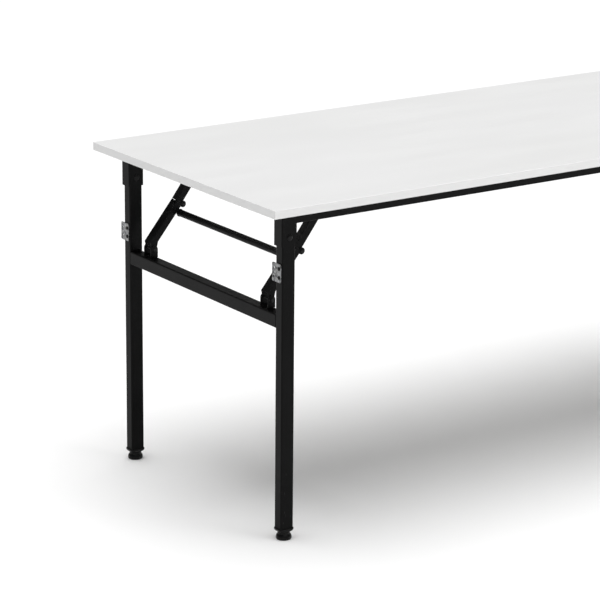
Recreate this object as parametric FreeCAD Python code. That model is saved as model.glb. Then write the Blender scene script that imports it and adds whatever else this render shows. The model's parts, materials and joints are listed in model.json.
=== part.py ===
import FreeCAD, Part

# Folding table: a laminated top on a steel underframe, with a folding end frame at each end.
# Each end frame swings up under the top and is held upright by two knee braces.
# Origin: middle of the footprint at floor level. +X along the length, +Y across, +Z up. Millimetres.
# The left end (-X) is modelled first. The right end is the same set of parts turned half a turn about Z.

import math
import os

os.makedirs("parts", exist_ok=True)
Vector = FreeCAD.Vector

# ---- Driving dimensions -------------------------------------------------------------------------

# Table top
TOP_LENGTH = 1800.0
TOP_WIDTH = 730.0
TABLE_HEIGHT = 740.0
TOP_THICKNESS = 18.0
LAMINATE_THICKNESS = 0.8
BAND_THICKNESS = 2.0
BAND_ARRIS = 1.0

# Legs and stretchers
LEG_DEPTH = 32.0
LEG_WIDTH = 25.0
LEG_WALL = 1.5
LEG_CORNER = 3.0
LEG_INSET_X = 67.0
LEG_INSET_Y = 60.0
STRETCHER_HEIGHT = 30.0
STRETCHER_DEPTH = 28.0
STRETCHER_TOP_DROP = 226.0
PIVOT_DROP = 57.0

# Rails under the top
RAIL_HEIGHT = 30.0
RAIL_WIDTH = 25.0
RAIL_WALL = 1.5
RAIL_CORNER = 2.5
RAIL_GAP = 1.0
CROSS_RAIL_WIDTH = 25.0

# Leg brackets
BRACKET_SHEET = 2.5
BRACKET_SIDE_CLEARANCE = 0.5
BRACKET_WEB_CLEARANCE = 1.0
BRACKET_DROP = 76.0
BRACKET_FLANGE = 16.0
BRACKET_FRONT_LIP = 1.0

# Pins and rivets
LEG_PIN_RADIUS = 4.0
BRACE_PIN_RADIUS = 3.0
RUNNING_CLEARANCE = 0.05
RIVET_HEAD_EXTRA = 3.5
RIVET_HEAD_HEIGHT = 2.0
SLEEVE_WALL = 1.5

# Knee braces: pivot places are measured from the leg pivot, to the table's middle and downwards
BRACE_INSET_Y = 130.0
LOW_PIVOT_X = 3.0
LOW_PIVOT_DROP = 151.0
KNEE_X = 80.0
KNEE_DROP = 57.0
HIGH_PIVOT_X = 149.9
HIGH_PIVOT_RISE = 36.0
LINK_SHEET = 1.5
LOWER_LINK_WIDTH = 25.0
LOWER_LINK_DEPTH = 15.0
LOWER_LINK_OFFSET = 2.0
UPPER_LINK_DEPTH = 15.5
UPPER_LINK_OFFSET = 3.0
LINK_SIDE_CLEARANCE = 0.5
LINK_END_RADIUS = 8.0
KNEE_EAR_RADIUS = 7.5
KNEE_GAP = 0.6
LINK_WEB_START = 7.0
LINK_HEEL_LENGTH = 20.0
FORK_LENGTH = 34.0
BAR_RADIUS = 8.0
BAR_WALL = 1.2
BAR_FROM_KNEE = 20.0
BAR_OFFSET = 5.0

# Clevises on the stretchers and hangers on the cross rails
EAR_SHEET = 2.0
EAR_RADIUS = 9.0
EAR_CLEARANCE = 0.5
HANGER_BACK_CLEARANCE = 1.1
HANGER_PLATE_RISE = 8.0
HANGER_PLATE_DROP = 10.0

# Joining plates on the legs
PLATE_WIDTH = 32.0
PLATE_HEIGHT = 40.0
PLATE_THICKNESS = 2.0
PLATE_CORNER = 3.0
PLATE_HOLE_RADIUS = 2.6
PLATE_HOLE_PITCH_Z = 19.0
PLATE_HOLE_PITCH_Y = 19.0
PLATE_EDGE_ON_LEG = 3.5
PLATE_FRONT_HEIGHT = 588.0
PLATE_BACK_HEIGHT = 539.0
PLATE_SCREW_HEAD_RADIUS = 4.2
PLATE_SCREW_HEAD_HEIGHT = 1.6
PLATE_SCREW_LENGTH = 9.0

# Feet
FOOT_FLANGE_OVERHANG = 2.5
FOOT_FLANGE_BOTTOM = 18.0
FOOT_FLANGE_HEIGHT = 8.0
FOOT_SPIGOT_LENGTH = 30.0
FOOT_SPIGOT_CLEARANCE = 0.1
FOOT_NUT_RADIUS = 6.5
FOOT_NUT_LENGTH = 9.0
FOOT_STUD_RADIUS = 4.0
FOOT_STUD_LENGTH = 34.0
FOOT_STUD_CLEARANCE = 0.05
FOOT_STUD_END_SPACE = 4.0
FOOT_PAD_RADIUS = 17.0
FOOT_PAD_HEIGHT = 8.0
FOOT_PAD_EDGE = 1.5
FOOT_NECK_RADIUS = 13.5
FOOT_NECK_GAP = 0.5

# Screws into the board
SCREW_RADIUS = 2.0
SCREW_HEAD_RADIUS = 4.0
SCREW_HEAD_HEIGHT = 2.4
SCREW_DEPTH = 11.0
SCREW_CLEARANCE = 0.3
RAIL_SCREW_ACCESS_RADIUS = 5.0
RAIL_SCREW_COUNT = 5
RAIL_SCREW_END = 60.0
CROSS_RAIL_SCREW_Y = 125.0

# How far a cutting shape reaches beyond what it cuts
CUT_MARGIN = 1.0

# ---- Places worked out from the dimensions ------------------------------------------------------

HALF_LENGTH = TOP_LENGTH / 2.0
HALF_WIDTH = TOP_WIDTH / 2.0
UNDERSIDE = TABLE_HEIGHT - TOP_THICKNESS
LEG_X = -HALF_LENGTH + LEG_INSET_X
LEG_Y = HALF_WIDTH - LEG_INSET_Y
PIVOT_Z = UNDERSIDE - PIVOT_DROP
LEG_OUTER_X = LEG_X - LEG_DEPTH / 2.0
BRACE_Y = HALF_WIDTH - BRACE_INSET_Y
LOW_PIVOT = Vector(LEG_X + LOW_PIVOT_X, 0, PIVOT_Z - LOW_PIVOT_DROP)
KNEE = Vector(LEG_X + KNEE_X, 0, PIVOT_Z - KNEE_DROP)
HIGH_PIVOT = Vector(LEG_X + HIGH_PIVOT_X, 0, PIVOT_Z + HIGH_PIVOT_RISE)
STRETCHER_TOP = UNDERSIDE - STRETCHER_TOP_DROP
UPPER_LINK_WIDTH = LOWER_LINK_WIDTH - 2 * LINK_SHEET - 2 * LINK_SIDE_CLEARANCE
BRACKET_INNER = LEG_WIDTH + 2 * BRACKET_SIDE_CLEARANCE
BRACKET_OUTER = BRACKET_INNER + 2 * BRACKET_SHEET
BRACKET_WEB_X = LEG_OUTER_X - BRACKET_WEB_CLEARANCE - BRACKET_SHEET
BRACKET_OPEN_X = LEG_X + LEG_DEPTH / 2.0 + BRACKET_FRONT_LIP
CROSS_RAIL_X = HIGH_PIVOT.x + LINK_END_RADIUS + HANGER_BACK_CLEARANCE + EAR_SHEET + CROSS_RAIL_WIDTH / 2.0
SIDE_RAIL_END = BRACKET_OPEN_X + RAIL_GAP
FLANGE_TOP = FOOT_FLANGE_BOTTOM + FOOT_FLANGE_HEIGHT

X_AXIS = Vector(1, 0, 0)
Y_AXIS = Vector(0, 1, 0)
Z_AXIS = Vector(0, 0, 1)

# ---- Shape helpers ------------------------------------------------------------------------------


def block(x0, x1, y0, y1, z0, z1):
    """A box between two corners."""
    return Part.makeBox(x1 - x0, y1 - y0, z1 - z0, Vector(x0, y0, z0))


def rod(base, axis, radius, length):
    """A round bar from base along axis."""
    return Part.makeCylinder(radius, length, base, axis)


def rounded_bar(width, height, corner, length):
    """A bar along +Z from the origin, width along X and height along Y, with round long edges."""
    bar = block(-width / 2.0, width / 2.0, -height / 2.0, height / 2.0, 0, length)
    long_edges = [edge for edge in bar.Edges if abs(edge.Vertexes[0].Z - edge.Vertexes[1].Z) > 0.5 * length]
    return bar.makeFillet(corner, long_edges)


def tube(width, height, wall, corner, length):
    """A rectangular tube along +Z from the origin."""
    outer = rounded_bar(width, height, corner, length)
    inner = rounded_bar(width - 2 * wall, height - 2 * wall, max(corner - wall, 0.3), length)
    return outer.cut(inner)


def along_x(shape, start):
    """Lay a shape that runs along +Z so that it runs along +X from start; its own X becomes -Z."""
    laid = shape.copy()
    laid.rotate(Vector(0, 0, 0), Y_AXIS, 90)
    laid.translate(start)
    return laid


def along_y(shape, start):
    """Lay a shape that runs along +Z so that it runs along +Y from start; its own Y becomes -Z."""
    laid = shape.copy()
    laid.rotate(Vector(0, 0, 0), X_AXIS, -90)
    laid.translate(start)
    return laid


def plate_xz(points, y0, y1):
    """A flat plate with its outline in the XZ plane, from y0 to y1."""
    corners = [Vector(x, y0, z) for x, z in points]
    face = Part.Face(Part.makePolygon(corners + [corners[0]]))
    return face.extrude(Vector(0, y1 - y0, 0))


def fuse_all(shapes):
    """Join shapes into one solid with clean faces."""
    joined = shapes[0]
    for shape in shapes[1:]:
        joined = joined.fuse(shape)
    return joined.removeSplitter()


def cut_all(shape, tools):
    """Cut every tool from a shape."""
    for tool in tools:
        shape = shape.cut(tool)
    return shape


def turned(shape):
    """The same shape at the other end of the table: half a turn about Z."""
    copy = shape.copy()
    copy.rotate(Vector(0, 0, 0), Z_AXIS, 180)
    return copy


def save(name, shape):
    """Write one node; a group of fasteners is a compound of separate solids."""
    if isinstance(shape, list):
        shape = Part.makeCompound(shape)
    elif shape.ShapeType == "Compound" and len(shape.Solids) == 1:
        shape = shape.Solids[0]
    shape.exportStep("parts/" + name + ".step")


def save_both_ends(name, shape):
    """Write a left-end node and its twin at the right end; front and back swap over."""
    swap = {"front": "back", "back": "front"}
    twin_name = "_".join(swap.get(word, word) for word in name.split("_"))
    twin = [turned(item) for item in shape] if isinstance(shape, list) else turned(shape)
    save(name + "_left", shape)
    save(twin_name + "_right", twin)


def hole_along_y(place, half, radius):
    """A hole along Y through everything within half of place."""
    reach = half + CUT_MARGIN
    return rod(place - Y_AXIS * reach, Y_AXIS, radius, 2.0 * reach)


# ---- Screw places, shared by the board and what is screwed to it --------------------------------


def side_rail_screw_places():
    """Screws through a side rail's upper wall, evenly spaced along it."""
    first = SIDE_RAIL_END + RAIL_SCREW_END
    step = -2.0 * first / (RAIL_SCREW_COUNT - 1)
    return [(first + i * step, side * LEG_Y) for side in (-1, 1) for i in range(RAIL_SCREW_COUNT)]


def cross_rail_screw_places():
    """Two screws through each cross rail's upper wall."""
    return [(end * CROSS_RAIL_X, side * CROSS_RAIL_SCREW_Y) for end in (-1, 1) for side in (-1, 1)]


def bracket_screw_places():
    """Four screws through the flanges of each leg bracket."""
    offset_y = BRACKET_OUTER / 2.0 + BRACKET_FLANGE / 2.0
    offset_x = (BRACKET_OPEN_X - BRACKET_WEB_X) / 4.0
    middle = (BRACKET_OPEN_X + BRACKET_WEB_X) / 2.0
    places = []
    for end in (-1, 1):
        for side in (-1, 1):
            for dx in (-offset_x, offset_x):
                for dy in (-offset_y, offset_y):
                    places.append((end * (middle + dx), side * LEG_Y + dy))
    return places


def board_screw(x, y, head_top):
    """A pan-head screw pointing up into the board; head_top is where the head meets the metal."""
    head = rod(Vector(x, y, head_top - SCREW_HEAD_HEIGHT), Z_AXIS, SCREW_HEAD_RADIUS, SCREW_HEAD_HEIGHT)
    shank = rod(Vector(x, y, head_top - 0.5 * SCREW_HEAD_HEIGHT), Z_AXIS, SCREW_RADIUS,
                0.5 * SCREW_HEAD_HEIGHT + UNDERSIDE - head_top + SCREW_DEPTH)
    return fuse_all([head, shank])


def screw_hole(x, y, radius, z0, z1):
    """An upright hole for a screw."""
    return rod(Vector(x, y, z0), Z_AXIS, radius, z1 - z0)


# ---- Table top ----------------------------------------------------------------------------------


def make_top():
    """Board, face sheet, backing sheet and four edge bands."""
    inner_x = HALF_LENGTH - BAND_THICKNESS
    inner_y = HALF_WIDTH - BAND_THICKNESS
    core_low = UNDERSIDE + LAMINATE_THICKNESS
    core_high = TABLE_HEIGHT - LAMINATE_THICKNESS
    places = side_rail_screw_places() + cross_rail_screw_places() + bracket_screw_places()
    holes = [screw_hole(x, y, SCREW_RADIUS, UNDERSIDE - CUT_MARGIN, UNDERSIDE + SCREW_DEPTH)
             for x, y in places]
    save("top_core", cut_all(block(-inner_x, inner_x, -inner_y, inner_y, core_low, core_high), holes))
    save("backing_sheet", cut_all(block(-inner_x, inner_x, -inner_y, inner_y, UNDERSIDE, core_low), holes))
    save("top_laminate", block(-inner_x, inner_x, -inner_y, inner_y, core_high, TABLE_HEIGHT))
    long_band = block(-HALF_LENGTH, HALF_LENGTH, -HALF_WIDTH, -inner_y, UNDERSIDE, TABLE_HEIGHT)
    outer_edges = [edge for edge in long_band.Edges
                   if abs(edge.CenterOfMass.y + HALF_WIDTH) < 1e-6]
    long_band = long_band.makeFillet(BAND_ARRIS, outer_edges)
    save("edge_band_front", long_band)
    save("edge_band_back", turned(long_band))
    short_band = block(-HALF_LENGTH, -inner_x, -inner_y, inner_y, UNDERSIDE, TABLE_HEIGHT)
    arrises = [edge for edge in short_band.Edges
               if abs(edge.CenterOfMass.x + HALF_LENGTH) < 1e-6 and abs(edge.CenterOfMass.y) < 1e-6]
    short_band = short_band.makeFillet(BAND_ARRIS, arrises)
    save("edge_band_left", short_band)
    save("edge_band_right", turned(short_band))


def rail_screw_cuts(x, y):
    """Clearance through a rail's upper wall and an access hole through its lower wall."""
    low = UNDERSIDE - RAIL_HEIGHT
    return [screw_hole(x, y, SCREW_RADIUS + SCREW_CLEARANCE, UNDERSIDE - RAIL_WALL - CUT_MARGIN,
                       UNDERSIDE + CUT_MARGIN),
            screw_hole(x, y, RAIL_SCREW_ACCESS_RADIUS, low - CUT_MARGIN, low + RAIL_WALL + CUT_MARGIN)]


def make_rails():
    """Two side rails in line with the legs, and two cross rails that carry the brace hangers."""
    rail_z = UNDERSIDE - RAIL_HEIGHT / 2.0
    length = -2.0 * SIDE_RAIL_END
    for name, side in (("front", -1), ("back", 1)):
        rail = along_x(tube(RAIL_HEIGHT, RAIL_WIDTH, RAIL_WALL, RAIL_CORNER, length),
                       Vector(SIDE_RAIL_END, side * LEG_Y, rail_z))
        for x, y in side_rail_screw_places():
            if y * side > 0:
                rail = cut_all(rail, rail_screw_cuts(x, y))
        save("side_rail_" + name, rail)
    reach = LEG_Y - RAIL_WIDTH / 2.0
    cross = along_y(tube(CROSS_RAIL_WIDTH, RAIL_HEIGHT, RAIL_WALL, RAIL_CORNER, 2.0 * reach),
                    Vector(CROSS_RAIL_X, -reach, rail_z))
    for x, y in cross_rail_screw_places():
        if x < 0:
            cross = cut_all(cross, rail_screw_cuts(x, y))
    save("cross_rail_left", cross)
    save("cross_rail_right", turned(cross))


def make_leg_bracket(side):
    """A pressed channel: web on the end side, two cheeks beside the leg, flanges under the board."""
    y = side * LEG_Y
    half = BRACKET_OUTER / 2.0
    channel = block(BRACKET_WEB_X, BRACKET_OPEN_X, y - half, y + half, UNDERSIDE - BRACKET_DROP, UNDERSIDE)
    bends = [edge for edge in channel.Edges
             if abs(edge.CenterOfMass.x - BRACKET_WEB_X) < 1e-6 and abs(edge.CenterOfMass.y - y) > 1.0]
    channel = channel.makeFillet(BRACKET_SHEET, bends)
    inside = block(BRACKET_WEB_X + BRACKET_SHEET, BRACKET_OPEN_X + CUT_MARGIN, y - BRACKET_INNER / 2.0,
                   y + BRACKET_INNER / 2.0, UNDERSIDE - BRACKET_DROP - CUT_MARGIN, UNDERSIDE - BRACKET_SHEET)
    flange = block(BRACKET_WEB_X + BRACKET_SHEET, BRACKET_OPEN_X, y - half - BRACKET_FLANGE,
                   y + half + BRACKET_FLANGE, UNDERSIDE - BRACKET_SHEET, UNDERSIDE)
    shape = fuse_all([channel.cut(inside), flange])
    pin_hole = hole_along_y(Vector(LEG_X, y, PIVOT_Z), half, LEG_PIN_RADIUS)
    holes = [screw_hole(sx, sy, SCREW_RADIUS + SCREW_CLEARANCE, UNDERSIDE - BRACKET_SHEET - CUT_MARGIN,
                        UNDERSIDE + CUT_MARGIN)
             for sx, sy in bracket_screw_places() if sx < 0 and sy * side > 0]
    return cut_all(shape, [pin_hole] + holes)


def rivet(place, half_grip, radius):
    """A headed pin along Y through place, with a head outside each end of the grip."""
    shank = rod(place - Y_AXIS * half_grip, Y_AXIS, radius, 2.0 * half_grip)
    heads = []
    for direction in (-1, 1):
        start = place + Y_AXIS * (direction * half_grip)
        heads.append(Part.makeCone(radius + RIVET_HEAD_EXTRA, radius, RIVET_HEAD_HEIGHT, start,
                                   Y_AXIS * direction))
    return fuse_all([shank] + heads)


def make_board_screws():
    """All screws that hold the rails and brackets to the board."""
    rail_heads = UNDERSIDE - RAIL_WALL
    screws = [board_screw(x, y, rail_heads) for x, y in side_rail_screw_places() + cross_rail_screw_places()]
    screws += [board_screw(x, y, UNDERSIDE - BRACKET_SHEET) for x, y in bracket_screw_places()]
    save("board_screws", screws)


# ---- End frames ---------------------------------------------------------------------------------


def make_leg(side):
    """A rectangular tube with its upper end rounded about the pivot."""
    y = side * LEG_Y
    top = PIVOT_Z + LEG_DEPTH / 2.0
    leg = tube(LEG_DEPTH, LEG_WIDTH, LEG_WALL, LEG_CORNER, top - FLANGE_TOP)
    leg.translate(Vector(LEG_X, y, FLANGE_TOP))
    keep_round = rod(Vector(LEG_X, y - LEG_WIDTH, PIVOT_Z), Y_AXIS, LEG_DEPTH / 2.0, 2.0 * LEG_WIDTH)
    keep_straight = block(LEG_X - LEG_DEPTH, LEG_X + LEG_DEPTH, y - LEG_WIDTH, y + LEG_WIDTH, 0, PIVOT_Z)
    leg = leg.common(keep_round.fuse(keep_straight))
    hole = hole_along_y(Vector(LEG_X, y, PIVOT_Z), LEG_WIDTH / 2.0, LEG_PIN_RADIUS + RUNNING_CLEARANCE)
    return cut_all(leg, [hole] + plate_screw_holes(side))


def make_sleeve(side):
    """A steel sleeve across the inside of the leg, on the pivot pin."""
    length = LEG_WIDTH - 2.0 * LEG_WALL
    start = Vector(LEG_X, side * LEG_Y - length / 2.0, PIVOT_Z)
    bore = LEG_PIN_RADIUS + RUNNING_CLEARANCE
    return rod(start, Y_AXIS, bore + SLEEVE_WALL, length).cut(rod(start, Y_AXIS, bore, length))


def plate_height(side):
    """The front leg carries its joining plate higher than the back leg."""
    return PLATE_FRONT_HEIGHT if side < 0 else PLATE_BACK_HEIGHT


def plate_start_y(side):
    """The joining plate's -Y edge, just inside the leg's own -Y edge."""
    return side * LEG_Y - LEG_WIDTH / 2.0 + PLATE_EDGE_ON_LEG


def plate_hole_centres(side, column):
    """Two holes above each other; column 0 lies on the leg and column 1 stands beside it."""
    margin = (PLATE_WIDTH - PLATE_HOLE_PITCH_Y) / 2.0
    y = plate_start_y(side) + margin + column * PLATE_HOLE_PITCH_Y
    return [(y, plate_height(side) + dz) for dz in (-PLATE_HOLE_PITCH_Z / 2.0, PLATE_HOLE_PITCH_Z / 2.0)]


def plate_screw_holes(side):
    """Holes in the leg's end face for the two screws of its joining plate."""
    depth = LEG_WALL + 2.0 * CUT_MARGIN
    return [rod(Vector(LEG_OUTER_X - CUT_MARGIN, y, z), X_AXIS, PLATE_HOLE_RADIUS, depth)
            for y, z in plate_hole_centres(side, 0)]


def make_joining_plate(side):
    """A zinc-plated plate with four holes, half on the leg and half standing beside it."""
    start = plate_start_y(side)
    middle = Vector(LEG_OUTER_X - PLATE_THICKNESS, start + PLATE_WIDTH / 2.0, plate_height(side))
    plate = along_x(rounded_bar(PLATE_HEIGHT, PLATE_WIDTH, PLATE_CORNER, PLATE_THICKNESS), middle)
    depth = PLATE_THICKNESS + 2.0 * CUT_MARGIN
    holes = [rod(Vector(middle.x - CUT_MARGIN, y, z), X_AXIS, PLATE_HOLE_RADIUS, depth)
             for column in (0, 1) for y, z in plate_hole_centres(side, column)]
    return cut_all(plate, holes)


def make_plate_screws(side):
    """Two pan-head screws through the joining plate into the leg."""
    screws = []
    for y, z in plate_hole_centres(side, 0):
        face = LEG_OUTER_X - PLATE_THICKNESS
        head = rod(Vector(face, y, z), X_AXIS * -1.0, PLATE_SCREW_HEAD_RADIUS, PLATE_SCREW_HEAD_HEIGHT)
        head_rim = [edge for edge in head.Edges
                    if abs(edge.CenterOfMass.x - face + PLATE_SCREW_HEAD_HEIGHT) < 1e-6]
        head = head.makeFillet(0.5 * PLATE_SCREW_HEAD_HEIGHT, head_rim[:1])
        shank = rod(Vector(face - 0.3, y, z), X_AXIS, PLATE_HOLE_RADIUS, PLATE_SCREW_LENGTH)
        screws.append(fuse_all([head, shank]))
    return screws


def make_stretcher():
    """A tube across the end frame, its end-side face flush with the legs."""
    reach = LEG_Y - LEG_WIDTH / 2.0
    centre_x = LEG_OUTER_X + STRETCHER_DEPTH / 2.0
    bar = tube(STRETCHER_DEPTH, STRETCHER_HEIGHT, LEG_WALL, LEG_CORNER, 2.0 * reach)
    return along_y(bar, Vector(centre_x, -reach, STRETCHER_TOP - STRETCHER_HEIGHT / 2.0))


def make_foot_plug(side):
    """A moulded plug in the leg's lower end, with a flange below it and a pocket for the nut."""
    y = side * LEG_Y
    inner_depth = LEG_DEPTH - 2.0 * LEG_WALL - 2.0 * FOOT_SPIGOT_CLEARANCE
    inner_width = LEG_WIDTH - 2.0 * LEG_WALL - 2.0 * FOOT_SPIGOT_CLEARANCE
    flange = rounded_bar(LEG_DEPTH + 2.0 * FOOT_FLANGE_OVERHANG, LEG_WIDTH + 2.0 * FOOT_FLANGE_OVERHANG,
                         LEG_CORNER + FOOT_FLANGE_OVERHANG, FOOT_FLANGE_HEIGHT)
    flange = flange.makeFillet(1.0, [edge for edge in flange.Edges if abs(edge.CenterOfMass.z) < 1e-6])
    spigot = rounded_bar(inner_depth, inner_width, LEG_CORNER - LEG_WALL, FOOT_SPIGOT_LENGTH)
    spigot.translate(Vector(0, 0, FOOT_FLANGE_HEIGHT))
    plug = fuse_all([flange, spigot])
    plug.translate(Vector(LEG_X, y, FOOT_FLANGE_BOTTOM))
    base = Vector(LEG_X, y, FOOT_FLANGE_BOTTOM)
    pocket = rod(base, Z_AXIS, FOOT_NUT_RADIUS, FOOT_NUT_LENGTH)
    room = FOOT_STUD_LENGTH + FOOT_STUD_END_SPACE - FOOT_FLANGE_BOTTOM + FOOT_PAD_HEIGHT
    shaft = rod(base, Z_AXIS, FOOT_STUD_RADIUS + FOOT_STUD_CLEARANCE + SCREW_CLEARANCE, room)
    return cut_all(plug, [pocket, shaft])


def make_foot_nut(side):
    """A round steel insert that the glide's stud screws into."""
    base = Vector(LEG_X, side * LEG_Y, FOOT_FLANGE_BOTTOM)
    bore = FOOT_STUD_RADIUS + FOOT_STUD_CLEARANCE
    return rod(base, Z_AXIS, FOOT_NUT_RADIUS, FOOT_NUT_LENGTH).cut(rod(base, Z_AXIS, bore, FOOT_NUT_LENGTH))


def make_foot_glide(side):
    """A levelling glide: a round pad and neck moulded on a steel stud."""
    base = Vector(LEG_X, side * LEG_Y, 0)
    pad = rod(base, Z_AXIS, FOOT_PAD_RADIUS, FOOT_PAD_HEIGHT)
    pad = pad.makeFillet(FOOT_PAD_EDGE, [edge for edge in pad.Edges if len(edge.Vertexes) == 1])
    neck = rod(base, Z_AXIS, FOOT_NECK_RADIUS, FOOT_FLANGE_BOTTOM - FOOT_NECK_GAP)
    stud = rod(base + Z_AXIS * (FOOT_PAD_HEIGHT / 2.0), Z_AXIS, FOOT_STUD_RADIUS,
               FOOT_STUD_LENGTH + FOOT_PAD_HEIGHT / 2.0)
    return fuse_all([pad, neck, stud])


# ---- Knee braces --------------------------------------------------------------------------------


def ear_pair(y, inner_width, outline, sheet):
    """Two flat ears either side of a link; outline gives the plate between y0 and y1."""
    half = inner_width / 2.0
    return [outline(y + half, y + half + sheet), outline(y - half - sheet, y - half)]


def make_clevis(y):
    """Two ears standing on the stretcher, joined by a base plate."""
    inner = LOWER_LINK_WIDTH + 2.0 * EAR_CLEARANCE
    x = LOW_PIVOT.x

    def ear(y0, y1):
        upright = block(x - EAR_RADIUS, x + EAR_RADIUS, y0, y1, STRETCHER_TOP, LOW_PIVOT.z)
        return upright.fuse(rod(Vector(x, y0, LOW_PIVOT.z), Y_AXIS, EAR_RADIUS, y1 - y0))

    half = inner / 2.0 + EAR_SHEET
    base = block(x - EAR_RADIUS, x + EAR_RADIUS, y - half, y + half, STRETCHER_TOP, STRETCHER_TOP + EAR_SHEET)
    shape = fuse_all(ear_pair(y, inner, ear, EAR_SHEET) + [base])
    hole = hole_along_y(Vector(x, y, LOW_PIVOT.z), half, BRACE_PIN_RADIUS)
    return shape.cut(hole)


def make_hanger(y):
    """Two ears standing out from the cross rail, joined by a back plate."""
    inner = UPPER_LINK_WIDTH + 2.0 * EAR_CLEARANCE
    back = CROSS_RAIL_X - CROSS_RAIL_WIDTH / 2.0
    low = HIGH_PIVOT.z - EAR_RADIUS
    high = HIGH_PIVOT.z + EAR_RADIUS

    def ear(y0, y1):
        arm = block(HIGH_PIVOT.x, back, y0, y1, low, high)
        return arm.fuse(rod(Vector(HIGH_PIVOT.x, y0, HIGH_PIVOT.z), Y_AXIS, EAR_RADIUS, y1 - y0))

    half = inner / 2.0 + EAR_SHEET
    plate = block(back - EAR_SHEET, back, y - half, y + half, low, high)
    shape = fuse_all(ear_pair(y, inner, ear, EAR_SHEET) + [plate])
    hole = hole_along_y(Vector(HIGH_PIVOT.x, y, HIGH_PIVOT.z), half, BRACE_PIN_RADIUS)
    return shape.cut(hole)


def cheek(length, depth, offset, start_radius, end_radius, body_start, body_end, y0, y1):
    """A link's side plate along +X from the first pivot at the origin, its body above the pivot line."""
    body = block(body_start, body_end, y0, y1, offset, offset + depth)
    first = rod(Vector(0, y0, 0), Y_AXIS, start_radius, y1 - y0)
    last = rod(Vector(length, y0, 0), Y_AXIS, end_radius, y1 - y0)
    return [body, first, last]


def place_link(shape, start, end, y):
    """Turn a link that lies along +X so that it runs from start to end, and move it to y."""
    angle = math.degrees(math.atan2(end.z - start.z, end.x - start.x))
    placed = shape.copy()
    placed.rotate(Vector(0, 0, 0), Y_AXIS, -angle)
    placed.translate(Vector(start.x, y, start.z))
    return placed


def make_lower_link(y, bar_side):
    """A channel whose web stops short of the knee, so that the upper link can fold between its cheeks."""
    length = LOW_PIVOT.distanceToPoint(KNEE)
    half = LOWER_LINK_WIDTH / 2.0
    top = LOWER_LINK_OFFSET + LOWER_LINK_DEPTH
    pieces = []
    for side in (-1, 1):
        y0 = half - LINK_SHEET if side > 0 else -half
        y1 = y0 + LINK_SHEET
        pieces += cheek(length, LOWER_LINK_DEPTH, LOWER_LINK_OFFSET, LINK_END_RADIUS, KNEE_EAR_RADIUS,
                        LINK_WEB_START, length - KNEE_GAP, y0, y1)
        heel = [(0, LINK_END_RADIUS), (LINK_WEB_START, top), (LINK_HEEL_LENGTH, LOWER_LINK_OFFSET),
                (0, -LINK_END_RADIUS)]
        pieces.append(plate_xz(heel, y0, y1))
        if side == bar_side:
            boss = Vector(length - BAR_FROM_KNEE, y0, -BAR_OFFSET)
            pieces.append(rod(boss, Y_AXIS, BAR_RADIUS, LINK_SHEET))
    pieces.append(block(LINK_WEB_START, length - FORK_LENGTH, -half, half, top - LINK_SHEET, top))
    link = fuse_all(pieces)
    hinge_hole = hole_along_y(Vector(0, 0, 0), half, BRACE_PIN_RADIUS + RUNNING_CLEARANCE)
    knee_hole = hole_along_y(Vector(length, 0, 0), half, BRACE_PIN_RADIUS)
    return place_link(cut_all(link, [hinge_hole, knee_hole]), LOW_PIVOT, KNEE, y)


def make_upper_link(y):
    """A channel that nests between the lower link's cheeks at the knee."""
    length = KNEE.distanceToPoint(HIGH_PIVOT)
    half = UPPER_LINK_WIDTH / 2.0
    top = UPPER_LINK_OFFSET + UPPER_LINK_DEPTH
    pieces = []
    for side in (-1, 1):
        y0 = half - LINK_SHEET if side > 0 else -half
        y1 = y0 + LINK_SHEET
        pieces += cheek(length, UPPER_LINK_DEPTH, UPPER_LINK_OFFSET, KNEE_EAR_RADIUS, LINK_END_RADIUS,
                        KNEE_GAP, length, y0, y1)
    pieces.append(block(KNEE_GAP, length, -half, half, top - LINK_SHEET, top))
    link = fuse_all(pieces)
    knee_hole = hole_along_y(Vector(0, 0, 0), half, BRACE_PIN_RADIUS + RUNNING_CLEARANCE)
    hinge_hole = hole_along_y(Vector(length, 0, 0), half, BRACE_PIN_RADIUS + RUNNING_CLEARANCE)
    return place_link(cut_all(link, [knee_hole, hinge_hole]), KNEE, HIGH_PIVOT, y)


def make_knee_rivets(y):
    """Two short headed rivets, one in each cheek of the lower link, ending flush with its inner face."""
    rivets = []
    for side in (-1, 1):
        outer = KNEE + Y_AXIS * (y + side * LOWER_LINK_WIDTH / 2.0)
        shank = rod(outer, Y_AXIS * -side, BRACE_PIN_RADIUS, LINK_SHEET)
        head = Part.makeCone(BRACE_PIN_RADIUS + RIVET_HEAD_EXTRA / 2.0, BRACE_PIN_RADIUS / 2.0,
                             RIVET_HEAD_HEIGHT, outer, Y_AXIS * side)
        rivets.append(fuse_all([shank, head]))
    return rivets


def make_release_bar():
    """A round tube between the two lower links, just below the knees."""
    length = LOW_PIVOT.distanceToPoint(KNEE)
    along = (KNEE - LOW_PIVOT) * (1.0 / length)
    up = Vector(-along.z, 0, along.x)
    centre = LOW_PIVOT + along * (length - BAR_FROM_KNEE) - up * BAR_OFFSET
    reach = BRACE_Y - LOWER_LINK_WIDTH / 2.0
    start = centre - Y_AXIS * reach
    outer = rod(start, Y_AXIS, BAR_RADIUS, 2.0 * reach)
    return outer.cut(rod(start, Y_AXIS, BAR_RADIUS - BAR_WALL, 2.0 * reach))


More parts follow.
